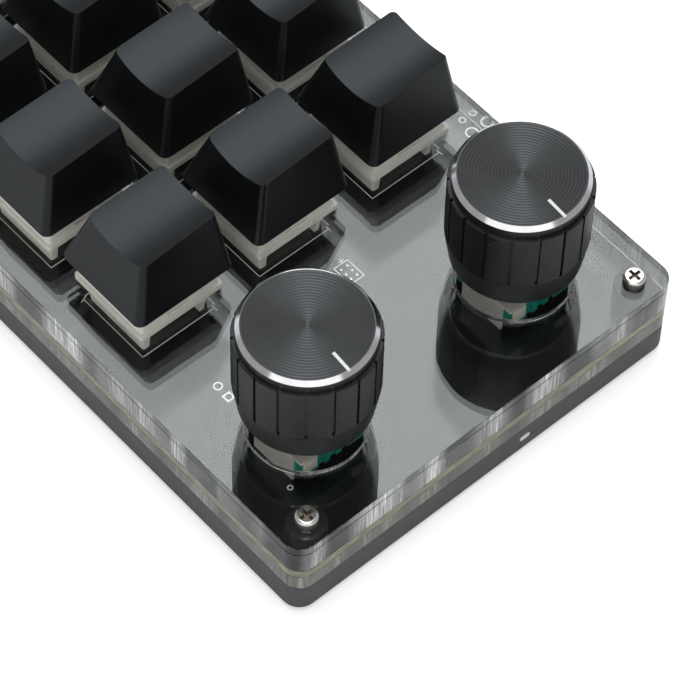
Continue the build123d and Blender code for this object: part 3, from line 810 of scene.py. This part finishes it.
stem_plastic = grained("stem plastic", (30, 30, 32), (38, 38, 40), 0.3, (0.2, 0.3), 0.004)
spring_low, spring_high = in_mm(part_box("spring_r1c1"))
nothing_selected()
bpy.ops.mesh.primitive_circle_add(
    vertices=8,
    radius=WIRE_RADIUS * MM,
    location=(SPRING_RADIUS * MM, 0, (spring_low.z + WIRE_RADIUS) * MM),
    rotation=(pi / 2, 0, 0),
)
coil = settle("coil_spring_model")
screw = coil.modifiers.new("Turns", "SCREW")
screw.angle = 2 * pi * SPRING_TURNS
screw.screw_offset = (spring_high.z - spring_low.z - 2 * WIRE_RADIUS) * MM
screw.steps = screw.render_steps = round(STEPS_PER_TURN * SPRING_TURNS)
apply_modifier(coil, screw)
bpy.ops.object.mode_set(mode="EDIT")
bpy.ops.mesh.select_all(action="SELECT")
bpy.ops.mesh.fill_holes(sides=0)
bpy.ops.mesh.select_all(action="SELECT")
bpy.ops.mesh.normals_make_consistent(inside=False)
nothing_selected()
soften(coil, 0, sharp=50)
wire = grained("spring wire", (150, 150, 152), (182, 182, 184), 0.4, (0.2, 0.35), 0.004, 1.0)
for name, place in key_places.items():
    paint(f"stem_{name}", stem_plastic)
    piece = copy_to(coil, f"coil_spring_{name}", place.x, place.y)
    fit(piece, wire, "case", "spring_steel", f"spring_{name}")
    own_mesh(piece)
bpy.data.objects.remove(coil)


# Keycaps. Moulded in matt black plastic with a fine sand texture: hollow, four sloping
# sides, a dished top that is lower at the front, and a boss that grips the cross.
CAP_FOOT = 18.1
CAP_TOP_X, CAP_TOP_Y = 12.3, 13.7
CAP_TOP_SHIFT = 1.45
CAP_FOOT_HEIGHT = 5.5
CAP_RIM_HEIGHT = 15.2
CAP_CORNER = 1.35
CAP_EDGE = 0.22
CAP_WALL = 1.3
CAP_CEILING = 12.35
CAP_SPARE = 1.3
DISH_FRONT, DISH_BACK, DISH_SAG = 13.65, 14.45, 1.0
BOSS_RADIUS, BOSS_LOW = 2.75, 6.8
CROSS_LENGTH, CROSS_X, CROSS_Y, CROSS_TOP = 4.1, 1.2, 1.4, 10.4


def cap_slope(height, inset=0.0):
    """Length, width and shift of the keycap at a height above the plate."""
    share = (height - CAP_FOOT_HEIGHT) / (CAP_RIM_HEIGHT - CAP_FOOT_HEIGHT)
    length = CAP_FOOT + share * (CAP_TOP_X - CAP_FOOT) - 2 * inset
    width = CAP_FOOT + share * (CAP_TOP_Y - CAP_FOOT) - 2 * inset
    return length, width, share * CAP_TOP_SHIFT


def cap_block(name, height, inset, corner):
    """Tapered block with the keycap's slopes, up to a height."""
    foot_x, foot_y, _ = cap_slope(CAP_FOOT_HEIGHT, inset)
    top_x, top_y, shift = cap_slope(height, inset)
    low, high = plate_top + CAP_FOOT_HEIGHT, plate_top + height
    return tapered(name, (foot_x, foot_y), (top_x, top_y), low, high, shift, corner, 8)


cap = cap_block("keycap_model", CAP_RIM_HEIGHT + CAP_SPARE, 0, CAP_CORNER)
half = CAP_TOP_X / 2
dish_radius = (half**2 + DISH_SAG**2) / (2 * DISH_SAG)
tilt = atan2(DISH_BACK - DISH_FRONT, CAP_TOP_Y)
nothing_selected()
bpy.ops.mesh.primitive_cylinder_add(
    vertices=360,
    radius=dish_radius * MM,
    depth=40 * MM,
    rotation=(tilt - pi / 2, 0, 0),
    location=(
        0,
        (CAP_TOP_SHIFT - dish_radius * sin(tilt)) * MM,
        (plate_top + (DISH_FRONT + DISH_BACK) / 2 + dish_radius * cos(tilt)) * MM,
    ),
)
cut(cap, settle("dish"))
soften(cap, CAP_EDGE, 3, 32)
cut(cap, cap_block("hollow", CAP_CEILING, CAP_WALL, 0.6))
boss = rod("boss", BOSS_RADIUS, plate_top + BOSS_LOW, plate_top + CAP_CEILING + 0.3, sides=40)
for size in ((CROSS_LENGTH, CROSS_X), (CROSS_Y, CROSS_LENGTH)):
    cut(boss, block("cross_arm", *size, plate_top, plate_top + CROSS_TOP))
weld(cap, boss)
soften(cap, 0, sharp=32)

cap_plastic = grained("black keycap plastic", (12, 12, 13), (17, 17, 18), 0.11, (0.24, 0.4), 0.03)
# The specular tint paints a cool blue sheen, the colour of the overhead lamp, into the caps'
# reflections.
tune(cap_plastic, {"Specular IOR Level": 0.38, "Specular Tint": (0.84, 0.93, 1.0, 1)})
for name, place in key_places.items():
    piece = copy_to(cap, f"cap_{name}", place.x, place.y)
    fit(piece, cap_plastic, f"key_{name}", "black_keycap", f"keycap_{name}")
bpy.data.objects.remove(cap)


# Middle frame and screw spacers. Clear acrylic rim that carries the plate above the
# board, bored at the corners for the round black nylon spacers on the screws.
SPACER_ROOM = 0.1
SCREW_RADIUS = 1.0
SCREW_ROOM = 0.15

frame_low, frame_high = in_mm(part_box("mid_frame"))
clear = acrylic("clear acrylic", tone(250, 251, 250))
clear_edge = cut_edge(
    "clear acrylic edge", tone(190, 192, 190), tone(250, 251, 250), 0.9, 0.4, 0.66, 0
)
pressed = pressed_face("pressed clear acrylic", tone(250, 251, 250))
mid_rim = rim("mid_frame_rim", frame_low + AIR, frame_high - AIR)
bores = [
    rod("bore", SPACER_RADIUS + SPACER_ROOM, frame_low.z - 1, frame_high.z + 1, x, y)
    for x, y in screw_places
]
cut(mid_rim, *bores)
soften(mid_rim, SHEET_SOFTNESS, 1)
fit(mid_rim, pressed, "case", "clear_acrylic", "mid_frame")
mark_cut_edge(mid_rim, clear_edge, *rim_edge)

tube = rod("spacer_model", SPACER_RADIUS, tube_low.z + AIR.z, tube_high.z - AIR.z)
cut(tube, rod("bore", SCREW_RADIUS + SCREW_ROOM, tube_low.z - 1, tube_high.z + 1))
soften(tube, 0.15)
for number, (x, y) in enumerate(screw_places, start=1):
    piece = copy_to(tube, f"screw_spacer_{number}", x, y)
    fit(piece, nylon, "case", "black_nylon", "screw_spacers")
bpy.data.objects.remove(tube)


# Rotary encoders. A green plastic body on the board holds the rotor. A folded steel
# cover with two mounting tabs and four corner claws clamps it, under a plain bush.
ENCODER_X, ENCODER_Y = 12.0, 11.7
COVER = 0.4
COVER_TAB = 8.4
CLAW_WIDTH, CLAW_DEPTH = 2.4, 2.6
BUSH_RADIUS, BUSH_HEIGHT = 3.5, 5.0
SHAFT_RADIUS = 3.0
BORE_RADIUS = SHAFT_RADIUS + 0.05
SHAFT_FLAT, SHAFT_FLAT_LENGTH = 1.5, 10.0
WELL_RADIUS, WELL_DEPTH = 4.65, 3.45
RIB_GAP, RIB_GAP_PLACES, RIB_GAP_TOP = (0.7, 1.0), (-2.2, 0, 2.2), 0.6
# How far below the plate top the body stays green; lower down it is painted shade in black nylon.
GREEN_BELOW_PLATE = 3.2
KNOB_NAMES = ("front", "back")

teal = grained("green encoder plastic", (14, 116, 98), (24, 134, 114), 0.3, (0.3, 0.42), 0.005)
cover_steel = grained(
    "cover steel", (222, 220, 208), (238, 236, 226), 0.5, (0.25, 0.45), 0.006, 0.5
)
rotor_plastic = grained("rotor plastic", (52, 52, 54), (60, 60, 62), 0.3, (0.3, 0.45), 0.005)
shaft_steel = grained(
    "shaft steel", (176, 176, 176), (192, 192, 192), 0.3, (0.18, 0.3), 0.003, 1.0
)
encoder_high = in_mm(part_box("encoder_bases"))[1]
body_top = encoder_high.z
cover_top = body_top + COVER
painted_shade_line = plate_top - GREEN_BELOW_PLATE

# The body's lower block is given black nylon, not green plastic: painted shade where the knob and
# the plate shade the green body.
painted_shade_foot = block("encoder_painted_shade_foot_model", ENCODER_X, ENCODER_Y, board_high.z, painted_shade_line - 0.01)
body = block("encoder_base_model", ENCODER_X, ENCODER_Y, painted_shade_line, body_top)
for half_body in (painted_shade_foot, body):
    cut(half_body, rod("well", WELL_RADIUS, body_top - WELL_DEPTH, body_top + 1))
rib_gaps = [
    block("rib_gap", *RIB_GAP, painted_shade_line - 1, body_top - RIB_GAP_TOP, side * ENCODER_X / 2, y)
    for side in (-1, 1)
    for y in RIB_GAP_PLACES
]
cut(body, *rib_gaps)
soften(body, 0.12)
soften(painted_shade_foot, 0.12)

cover = block("encoder_cover_model", ENCODER_X, ENCODER_Y + 2 * COVER, body_top, cover_top)
for end in (-1, 1):
    tab_y = sorted((end * ENCODER_Y / 2, end * (ENCODER_Y / 2 + COVER)))
    tab = box(
        "tab",
        (-COVER_TAB / 2, tab_y[0], board_high.z),
        (COVER_TAB / 2, tab_y[1], cover_top - 0.1),
    )
    weld(cover, tab)
for side in (-1, 1):
    claw_x = sorted((side * (ENCODER_X / 2 - 0.1), side * (ENCODER_X / 2 + COVER)))
    tooth_x = sorted((side * (ENCODER_X / 2 + 0.005), side * (ENCODER_X / 2 + COVER)))
    for end in (-1, 1):
        middle = end * (ENCODER_Y - CLAW_WIDTH) / 2
        front, back = middle - CLAW_WIDTH / 2, middle + CLAW_WIDTH / 2
        claw = box(
            "claw",
            (claw_x[0], front, body_top + 0.05),
            (claw_x[1], back, cover_top - 0.05),
        )
        tooth = box(
            "tooth",
            (tooth_x[0], front, cover_top - CLAW_DEPTH),
            (tooth_x[1], back, cover_top - 0.1),
        )
        weld(cover, claw, tooth)
weld(cover, rod("bush", BUSH_RADIUS, cover_top - 0.2, cover_top + BUSH_HEIGHT))
cut(cover, rod("bore", BORE_RADIUS, body_top - 1, cover_top + BUSH_HEIGHT + 1))
soften(cover, 0.08)

shaft_low, shaft_high = in_mm(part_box("knob_shaft_front"))
shaft = rod("shaft_model", SHAFT_RADIUS, shaft_low.z, shaft_high.z)
flat = box(
    "flat",
    (-SHAFT_RADIUS - 1, SHAFT_RADIUS - SHAFT_FLAT, shaft_high.z - SHAFT_FLAT_LENGTH),
    (SHAFT_RADIUS + 1, SHAFT_RADIUS + 1, shaft_high.z + 1),
)
cut(shaft, flat)
soften(shaft, 0.15)

knob_places = {name: centre(f"encoder_rotor_{name}") for name in KNOB_NAMES}
for name, place in knob_places.items():
    piece = copy_to(body, f"encoder_base_{name}", place.x, place.y)
    fit(piece, teal, "case", "green_plastic", "encoder_bases")
    # Painted shade: the lower block of the green body in black nylon.
    piece = copy_to(painted_shade_foot, f"encoder_painted_shade_foot_{name}", place.x, place.y)
    fit(piece, nylon, "case", "green_plastic", "encoder_bases")
    piece = copy_to(cover, f"encoder_cover_{name}", place.x, place.y)
    fit(piece, cover_steel, "case", "cover_steel", "encoder_covers")
    paint(f"encoder_rotor_{name}", rotor_plastic)
for name, place in knob_places.items():
    piece = copy_to(shaft, f"encoder_shaft_{name}", place.x, place.y)
    fit(piece, shaft_steel, f"dial_{name}", "shaft_steel", f"knob_shaft_{name}")
for model in (body, painted_shade_foot, cover, shaft):
    bpy.data.objects.remove(model)


# Top plate. Clear acrylic sheet, cut by laser, with a square hole for each switch and a
# round one for each knob. Its cut edge is glossy with milky patches, and so are the walls
# of its holes that lie near its four sides.
PLATE_HOLE, PLATE_HOLE_CORNER = 14.0, 0.2
KNOB_HOLE_RADIUS = 9.05

plate = rounded_box("top_plate_sheet", plate_low, plate_high, CORNER_RADIUS)
below, above = plate_low.z - 1, plate_high.z + 1
holes = [
    rounded_box(
        "key_hole",
        (place.x - PLATE_HOLE / 2, place.y - PLATE_HOLE / 2, below),
        (place.x + PLATE_HOLE / 2, place.y + PLATE_HOLE / 2, above),
        PLATE_HOLE_CORNER,
        segments=2,
    )
    for place in key_places.values()
]
for place in knob_places.values():
    holes.append(rod("knob_hole", KNOB_HOLE_RADIUS, below, above, place.x, place.y, 120))
for x, y in screw_places:
    holes.append(rod("screw_hole", SCREW_RADIUS + SCREW_ROOM, below, above, x, y))
cut(plate, *holes)
soften(plate, 0.12)
fit(plate, clear, "case", "clear_acrylic", "top_plate")
plate_edge = (encoder_high.x - CORNER_RADIUS, encoder_high.y - CORNER_RADIUS)
mark_cut_edge(plate, clear_edge, *plate_edge)


# Corner screws. Pan-head machine screws of bright plated steel with a cross recess,
# through every layer into the base.
HEAD_RADIUS, HEAD_HEIGHT, HEAD_ROUNDING = 1.75, 1.3, 0.5
RECESS_HALF, RECESS_WIDTH, RECESS_DEPTH, RECESS_TAPER = 1.15, 0.62, 0.8, 0.6

screw_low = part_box("corner_screws")[0].z / MM
head_top = plate_top + HEAD_HEIGHT
head = rod("screw_model", HEAD_RADIUS, plate_top, head_top)
bpy.ops.object.mode_set(mode="EDIT")
top_height = (head_top - 0.1) * MM
pick(head, "edges", lambda edge: all(vertex.co.z > top_height for vertex in edge.verts))
bpy.ops.mesh.bevel(offset=HEAD_ROUNDING * MM, segments=5, affect="EDGES")
nothing_selected()
recess_low = head_top - RECESS_DEPTH
for length, width in ((2 * RECESS_HALF, RECESS_WIDTH), (RECESS_WIDTH, 2 * RECESS_HALF)):
    foot_size = (RECESS_TAPER * length, RECESS_TAPER * width)
    cut(head, tapered("arm", foot_size, (length, width), recess_low, head_top + 0.05))
weld(head, rod("shank", SCREW_RADIUS, screw_low, plate_top + 0.3, sides=32))
soften(head, 0, sharp=35)
screw_steel = grained(
    "plated screw steel", (214, 211, 204), (242, 240, 234), 0.12, (0.1, 0.3), 0.02, 1.0
)
# The cross recess gets a darker, browner steel than the head: painted shade in the recess.
recess_shade = grained(
    "screw recess painted shade", (128, 118, 106), (176, 166, 152), 0.12, (0.3, 0.5), 0.01, 1.0
)
head.data.materials.append(screw_steel)
head.data.materials.append(recess_shade)
for face in head.data.polygons:
    inside = hypot(face.center.x, face.center.y) < RECESS_HALF * MM and abs(face.normal.z) < 0.99
    z = face.center.z / MM
    below_top = plate_top + 0.1 < z < head_top - 0.02
    lowest = abs(z - recess_low) < 0.02
    face.material_index = 1 if below_top and (inside or lowest) else 0
for number, (x, y) in enumerate(screw_places, start=1):
    piece = copy_to(head, f"corner_screw_{number}", x, y)
    fit(piece, None, "case", "screw_steel", "corner_screws")
bpy.data.objects.remove(head)


# Knobs. Turned from aluminium and anodised black: a tapered foot, a slotted grip with
# fine turned rings and a shoulder, a collar, and a face with turned rings inside a bright
# bevelled edge. A white pointer line is filled in near the edge of the face.
KNOB_FOOT_RADIUS = 10.0
KNOB_BODY_RADIUS = 10.74
KNOB_TAPER = 5.4
KNOB_SHOULDER = 15.8
COLLAR_RADIUS = 10.1
KNOB_HEIGHT = 18.0
EDGE_WIDTH, EDGE_HEIGHT = 0.6, 0.7
GROOVE_PITCH, GROOVE_DEPTH = 0.5, 0.08
TURNING_PITCH, TURNING_DEPTH = 0.52, 0.035
GROOVES = 18
KNOB_SIDES = 204
GRIP_COUNT = 17
GRIP_WIDTH, GRIP_DEPTH = 0.5, 0.4
GRIP_TURNS = {"front": -41.7, "back": -49.9}
POINTER_TURNS = {"front": -4.4, "back": -4.0}
POINTER_START, POINTER_END, POINTER_WIDTH = 5.9, 9.7, 0.5
POINTER_SUNK, POINTER_THICKNESS = 0.03, 0.04
KNOB_RECESS_RADIUS, KNOB_RECESS_DEPTH = 7.5, 3.2
LINE_SIZE, LINE_DEPTH, LINE_STRETCH = 0.32, 0.07, (0.02, 0.02, 1)


def turned(name, profile, low, sides):
    """Solid turned on the upright axis, from its foot up, through radius and height pairs."""
    nothing_selected()
    radius, height = profile[0]
    bpy.ops.mesh.primitive_circle_add(
        vertices=sides, radius=radius * MM, fill_type="NGON", location=(0, 0, (low + height) * MM)
    )
    piece = settle(name)
    bpy.ops.object.mode_set(mode="EDIT")
    bpy.ops.mesh.select_all(action="SELECT")
    for next_radius, next_height in profile[1:]:
        bpy.ops.mesh.extrude_region_move(
            TRANSFORM_OT_translate={"value": (0, 0, (next_height - height) * MM)}
        )
        bpy.ops.transform.resize(
            value=(next_radius / radius, next_radius / radius, 1),
            center_override=(0, 0, (low + next_height) * MM),
        )
        radius, height = next_radius, next_height
    bpy.ops.mesh.select_all(action="SELECT")
    bpy.ops.mesh.normals_make_consistent(inside=False)
    nothing_selected()
    return piece


def knob_profile():
    """Radius and height pairs of the knob, ending in the turned rings of its face."""
    face = KNOB_HEIGHT - 0.02
    inner = COLLAR_RADIUS - EDGE_WIDTH
    points = [
        (KNOB_FOOT_RADIUS - 0.25, 0),
        (KNOB_FOOT_RADIUS - 0.07, 0.07),
        (KNOB_FOOT_RADIUS, 0.25),
        (KNOB_BODY_RADIUS - 0.06, KNOB_TAPER - 0.5),
        (KNOB_BODY_RADIUS, KNOB_TAPER),
    ]
    height = KNOB_TAPER + 0.1
    while height < KNOB_SHOULDER - TURNING_PITCH:
        points.append((KNOB_BODY_RADIUS, height))
        points.append((KNOB_BODY_RADIUS - TURNING_DEPTH, height + TURNING_PITCH / 2))
        height += TURNING_PITCH
    points += [
        (KNOB_BODY_RADIUS, KNOB_SHOULDER - 0.12),
        (KNOB_BODY_RADIUS - 0.12, KNOB_SHOULDER),
        (COLLAR_RADIUS, KNOB_SHOULDER),
        (COLLAR_RADIUS, KNOB_HEIGHT - EDGE_HEIGHT),
        (inner, KNOB_HEIGHT),
        (inner - 0.05, face),
    ]
    radius = inner - 0.2
    for _ in range(GROOVES):
        points.append((radius, face))
        points.append((radius - GROOVE_PITCH / 2, face - GROOVE_DEPTH))
        radius -= GROOVE_PITCH
    points.append((radius, face))
    return points


knob_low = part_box("knob_front")[0].z / MM
model = turned("knob_model", knob_profile(), knob_low, KNOB_SIDES)
grip_top = KNOB_SHOULDER + 0.5
slots = []
for step in range(GRIP_COUNT):
    angle = step * 2 * pi / GRIP_COUNT
    middle = (
        KNOB_BODY_RADIUS * cos(angle),
        KNOB_BODY_RADIUS * sin(angle),
        knob_low + (KNOB_TAPER + grip_top) / 2,
    )
    slots.append(bar("slot", middle, (2 * GRIP_DEPTH, GRIP_WIDTH, grip_top - KNOB_TAPER), angle))
cut(model, *slots)
cut(model, rod("recess", KNOB_RECESS_RADIUS, knob_low - 1, knob_low + KNOB_RECESS_DEPTH))
cut(model, rod("bore", BORE_RADIUS, knob_low, shaft_high.z + 0.05))
soften(model, 0, sharp=8)


def anodised(name, dark, light, gloss, metal):
    """Anodised aluminium with turning lines round the axis, drawn out by the tool."""
    material = grained(name, dark, light, 0.2, gloss, 0.002, metal)
    tree = material.node_tree
    around = add_node(tree, "Tangent", "Tangent", direction_type="RADIAL", axis="Z")
    lines = noise(tree, stretched(tree, LINE_STRETCH), LINE_SIZE)
    sockets = {
        "Anisotropic": 0.85,
        "Anisotropic Rotation": 0.25,
        "Tangent": around,
        "Normal": lift(tree, lines, 0.8, LINE_DEPTH),
    }
    return tune(material, sockets)


anodising = anodised("black anodising", (34, 35, 36), (44, 45, 46), (0.24, 0.34), 0.6)
turned_face = anodised("turned knob face", (66, 67, 68), (74, 75, 76), (0.36, 0.44), 1.0)
bright_edge = grained(
    "bright turned edge", (196, 197, 202), (240, 240, 242), 0.1, (0.08, 0.2), 0.004, 1.0
)
edge_low = (knob_low + KNOB_HEIGHT - EDGE_HEIGHT) * MM
edge_inside = (COLLAR_RADIUS - EDGE_WIDTH - 0.06) * MM
for name, place in knob_places.items():
    copy_to(model, f"knob_body_{name}")
    bpy.ops.transform.rotate(
        value=-radians(GRIP_TURNS[name]), orient_axis="Z", center_override=(0, 0, 0)
    )
    bpy.ops.transform.translate(value=(place.x * MM, place.y * MM, 0))
    piece = settle(f"knob_body_{name}")
    piece.data.materials.clear()
    for material in (anodising, bright_edge, turned_face):
        piece.data.materials.append(material)
    for face in piece.data.polygons:
        out = hypot(face.center.x - place.x * MM, face.center.y - place.y * MM)
        if face.center.z > edge_low and face.normal.z > 0.3:
            face.material_index = 1 if out > edge_inside else 2
    fit(piece, None, f"dial_{name}", "black_anodised", f"knob_{name}")

    angle = radians(POINTER_TURNS[name])
    out = (POINTER_START + POINTER_END) / 2
    middle = (
        place.x + out * cos(angle),
        place.y + out * sin(angle),
        knob_low + KNOB_HEIGHT - POINTER_SUNK,
    )
    size = (POINTER_END - POINTER_START, POINTER_WIDTH, POINTER_THICKNESS)
    pointer = bar(f"pointer_{name}", middle, size, angle)
    soften(pointer, 0.01, 1)
    fit(pointer, ink, f"dial_{name}", "black_anodised", f"knob_{name}")
bpy.data.objects.remove(model)


# Floor and light. The keypad stands on a plain white floor between two soft lamps. A long
# panel hangs over it towards the back left, so that its mirror image fills the plate. A
# weaker one stands behind the camera and lights the sides that face it.
LAMPS = (
    # length, width, distance, lean from upright, turn, radiance, colour
    (1.85, 0.6, 1.1, 10, 137, 2.75, (0.94, 0.98, 1.0)),
    (0.6, 2.2, 1.2, 62, -43, 0.95, (1.0, 0.99, 0.97)),
)
DAYLIGHT, MIRRORED_DAYLIGHT = 0.45, 0.4
FLOOR_SIZE, FLOOR_GLOW = 6, 0.42
WHITE = (1, 1, 1, 1)


def white_floor():
    """White floor that keeps the object's shadow, and that is clear when seen from below."""
    material = grained("pale floor", (236, 236, 236), (240, 240, 240), 2.0, (0.8, 0.9), 0.0)
    tree = material.node_tree
    seen = maths(tree, "MAXIMUM", ray_is(tree, "Camera"), ray_is(tree, "Transmission"))
    sockets = {
        "Specular IOR Level": 0.0,
        "Emission Color": WHITE,
        "Emission Strength": maths(tree, "MULTIPLY", seen, FLOOR_GLOW),
    }
    tune(material, sockets)
    above = tree.nodes["Principled BSDF"].outputs["BSDF"]
    below = add_node(tree, "BsdfTransparent", "BSDF")
    surface = mixed(tree, add_node(tree, "NewGeometry", "Backfacing"), above, below)
    connect(tree.nodes["Material Output"], {"Surface": surface})
    return material


nothing_selected()
bpy.ops.mesh.primitive_plane_add(size=FLOOR_SIZE, location=(0, 0, 0))
floor = bpy.context.object
floor.name = "floor"
floor.data.materials.append(white_floor())

for length, width, distance, lean, turn, radiance, colour in LAMPS:
    aim = Matrix.Rotation(radians(turn), 3, "Z") @ Matrix.Rotation(radians(lean), 3, "Y")
    bpy.ops.object.light_add(
        type="AREA", location=aim @ Vector((0, 0, distance)), rotation=aim.to_euler()
    )
    lamp = bpy.context.object
    lamp.data.shape = "RECTANGLE"
    lamp.data.color = colour
    lamp.data.size = length
    lamp.data.size_y = width
    lamp.data.energy = radiance * pi * length * width

world = bpy.data.worlds.new("daylight")
bpy.context.scene.world = world
world.use_nodes = True
tree = world.node_tree
mirrored = maths(tree, "MAXIMUM", ray_is(tree, "Glossy"), ray_is(tree, "Transmission"))
indirect = spread(tree, mirrored, DAYLIGHT, MIRRORED_DAYLIGHT)
sockets = {"Factor": ray_is(tree, "Camera"), "A": indirect, "B": 1.0}
strength = add_node(tree, "Mix", "Result", sockets)
connect(tree.nodes["Background"], {"Color": WHITE, "Strength": strength})

bpy.context.scene.view_settings.view_transform = "Standard"
